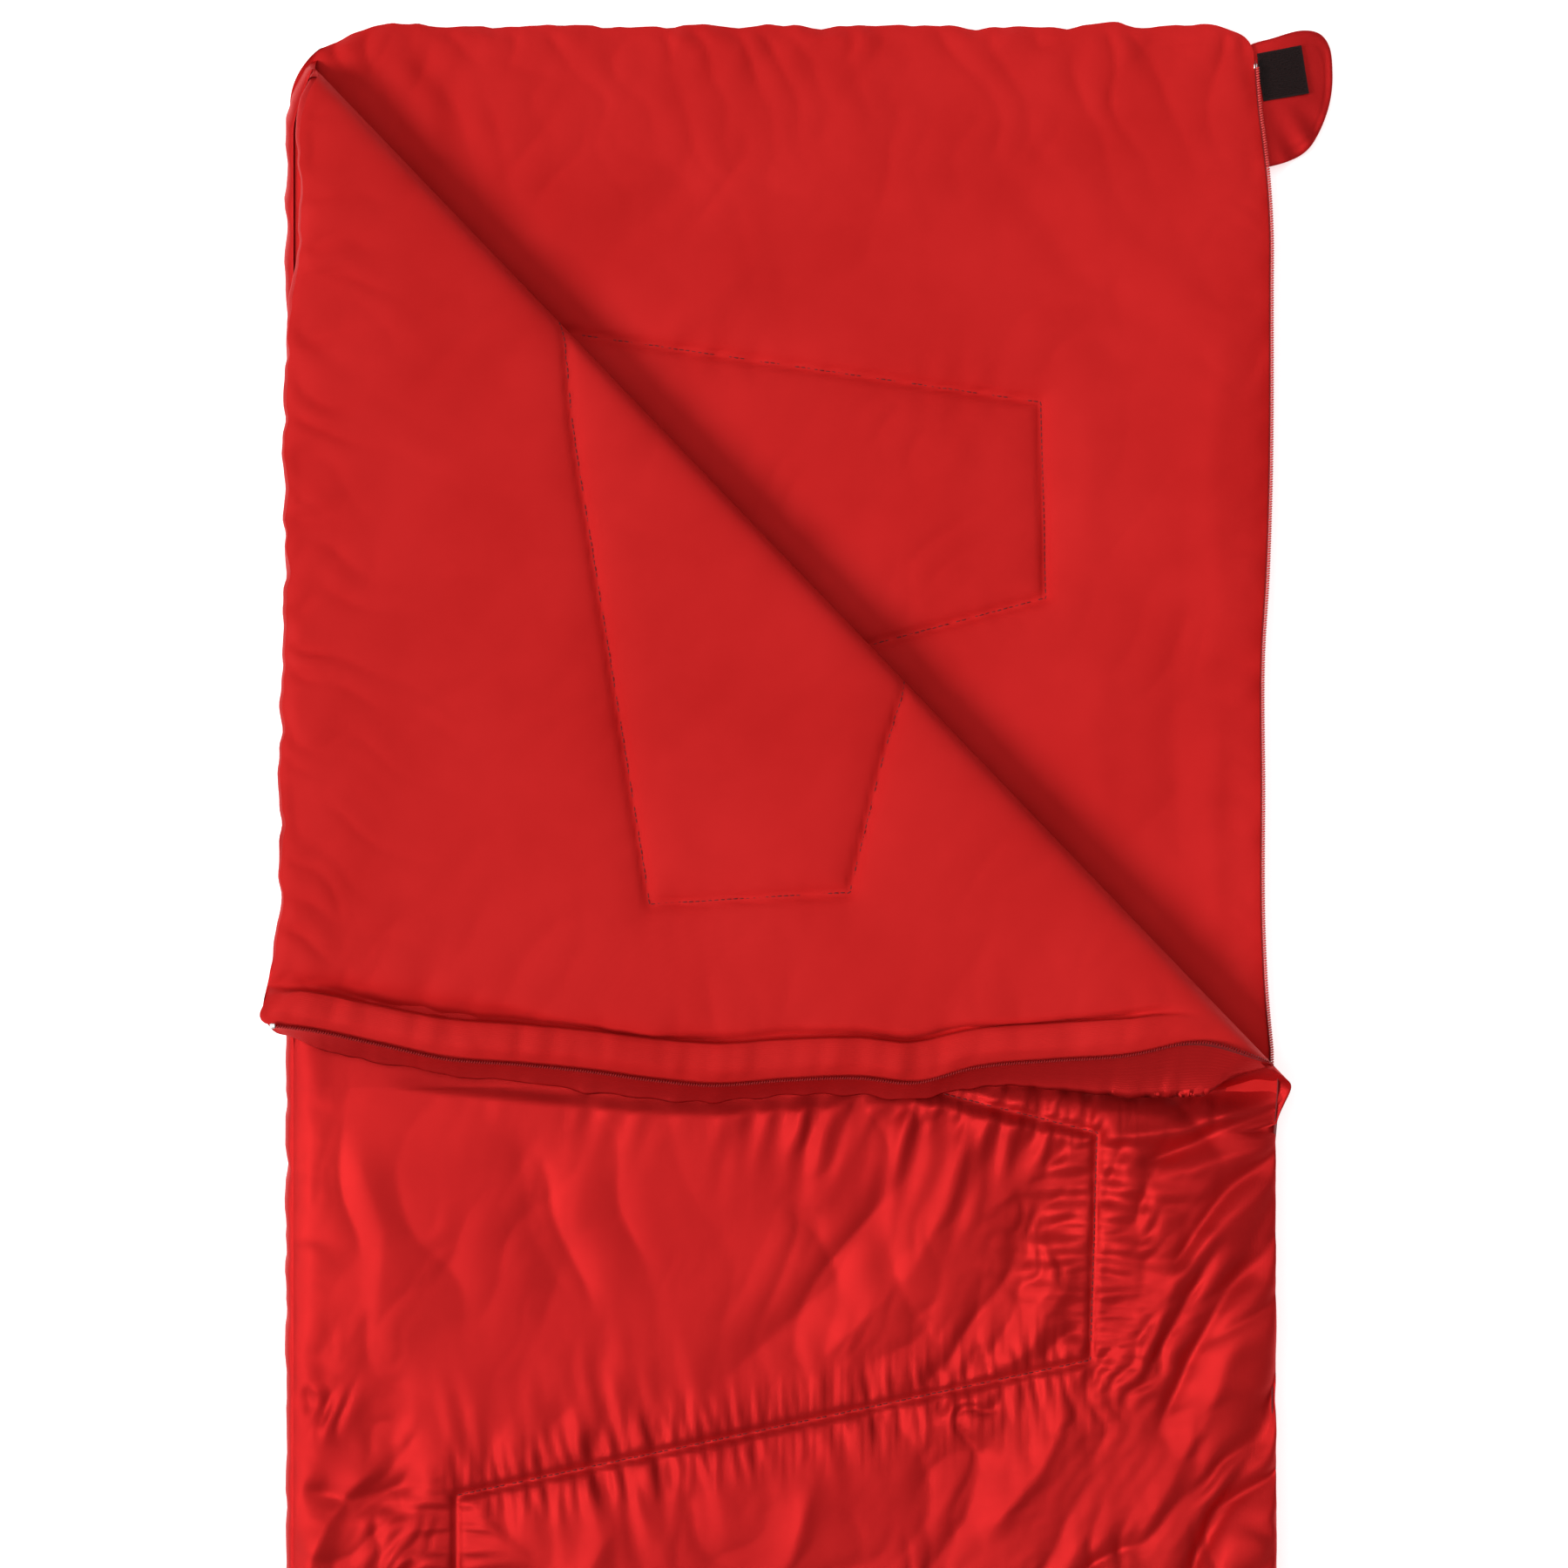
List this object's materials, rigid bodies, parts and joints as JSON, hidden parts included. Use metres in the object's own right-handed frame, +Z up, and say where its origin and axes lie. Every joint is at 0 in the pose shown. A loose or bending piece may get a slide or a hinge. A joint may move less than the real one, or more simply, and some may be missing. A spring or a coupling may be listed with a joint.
{
  "type": "rectangular sleeping bag",
  "caption": "Quilted rectangular sleeping bag with an L-shaped zip, lying flat with one corner of the top layer folded back over the lining.",
  "frame": {"origin": "middle of the bag's underside, where it rests on the ground", "axes": "+Y towards the head end, +X towards the side with the zip, +Z up"},
  "size_m": [0.8183, 1.8019, 0.0727],
  "materials": {
    "shell_cloth": "satin",
    "lining_cloth": "matte",
    "wadding": "matte",
    "thread": "matte",
    "zip_tape": "matte",
    "zip_coil": "satin",
    "zip_stop": "satin",
    "slider_metal": "satin",
    "pull_metal": "satin",
    "hook_tape": "matte",
    "loop_tape": "matte"
  },
  "bodies": {
    "bottom_layer": {"bottom_shell": "shell_cloth", "bottom_wadding": "wadding", "bottom_lining": "lining_cloth", "bottom_quilt_stitching": "thread", "side_roll_lower": "shell_cloth", "zip_tape_lower": "zip_tape", "zip_coil_lower": "zip_coil", "zip_top_stop_lower": "zip_stop", "zip_foot_stop": "zip_stop"},
    "top_layer": {"top_shell": "shell_cloth", "top_wadding": "wadding", "top_lining": "lining_cloth", "top_quilt_stitching": "thread", "side_roll_upper": "shell_cloth", "zip_tape_upper": "zip_tape", "zip_coil_upper": "zip_coil"},
    "turned_corner": {"corner_shell": "shell_cloth", "corner_wadding": "wadding", "corner_lining": "lining_cloth", "corner_quilt_stitching": "thread", "zip_tape_corner": "zip_tape", "zip_coil_corner": "zip_coil", "zip_top_stop_corner": "zip_stop", "loop_patch": "loop_tape"},
    "slider": {"slider_body": "slider_metal"},
    "pull": {"slider_pull": "pull_metal"},
    "closing_tab": {"closing_tab": "shell_cloth", "hook_patch": "hook_tape"}
  },
  "joints": [
    {"name": "corner_fold", "type": "hinge", "parent": "top_layer", "child": "turned_corner", "pos_m": [0, 0.495, 0.0485], "axis": [-0.6931, 0.7208, 0], "range_deg": [0, 179.5]},
    {"name": "top_open", "type": "hinge", "parent": "bottom_layer", "child": "top_layer", "pos_m": [-0.3752, 0, 0.024], "axis": [0, -1, 0], "range_deg": [0, 179.5]},
    {"name": "slider_travel", "type": "slide", "parent": "bottom_layer", "child": "slider", "axis": [0, 1, 0], "range_m": [-0.947, 0.7645]},
    {"name": "pull_swing", "type": "hinge", "parent": "slider", "child": "pull", "pos_m": [0.3794, 0.095, 0.024], "axis": [0, 0, 1], "range_deg": [0, 175]},
    {"name": "tab_fold", "type": "hinge", "parent": "bottom_layer", "child": "closing_tab", "pos_m": [0.3755, 0.845, 0.02513], "axis": [0, -1, 0], "range_deg": [0, 165.43]}
  ]
}
